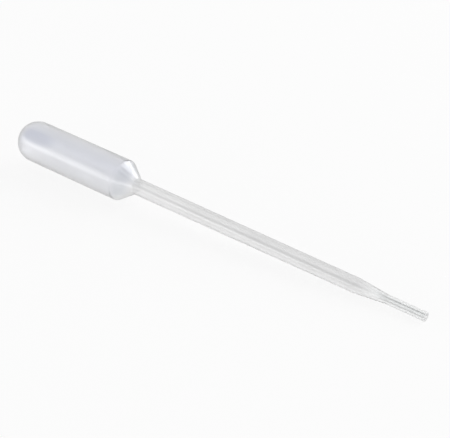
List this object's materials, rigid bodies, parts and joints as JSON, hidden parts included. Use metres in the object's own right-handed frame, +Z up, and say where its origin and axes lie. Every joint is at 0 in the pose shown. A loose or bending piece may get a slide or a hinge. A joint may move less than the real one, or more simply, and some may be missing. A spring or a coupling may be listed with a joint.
{
  "type": "plastic dropper pipette",
  "caption": "Translucent blow-moulded plastic dropper: domed squeeze bulb, tapered shoulder, long slender stem and a fine open tip, for drawing up and dripping small amounts of liquid.",
  "frame": {"origin": "on the surface the pipette lies on, under the middle of its box", "axes": "+Z up; the pipette lies along X with the bulb towards -X and the open tip towards +X, its axis dipping 2.7 degrees towards the tip because it rests on the shoulder's rim and the edge of the tip"},
  "size_m": [0.15, 0.013, 0.0146],
  "materials": {
    "ldpe": "natural translucent low-density polyethylene, blow-moulded, slightly milky with a soft gloss"
  },
  "bodies": {
    "root": {"pipette_body": "ldpe"}
  },
  "joints": []
}
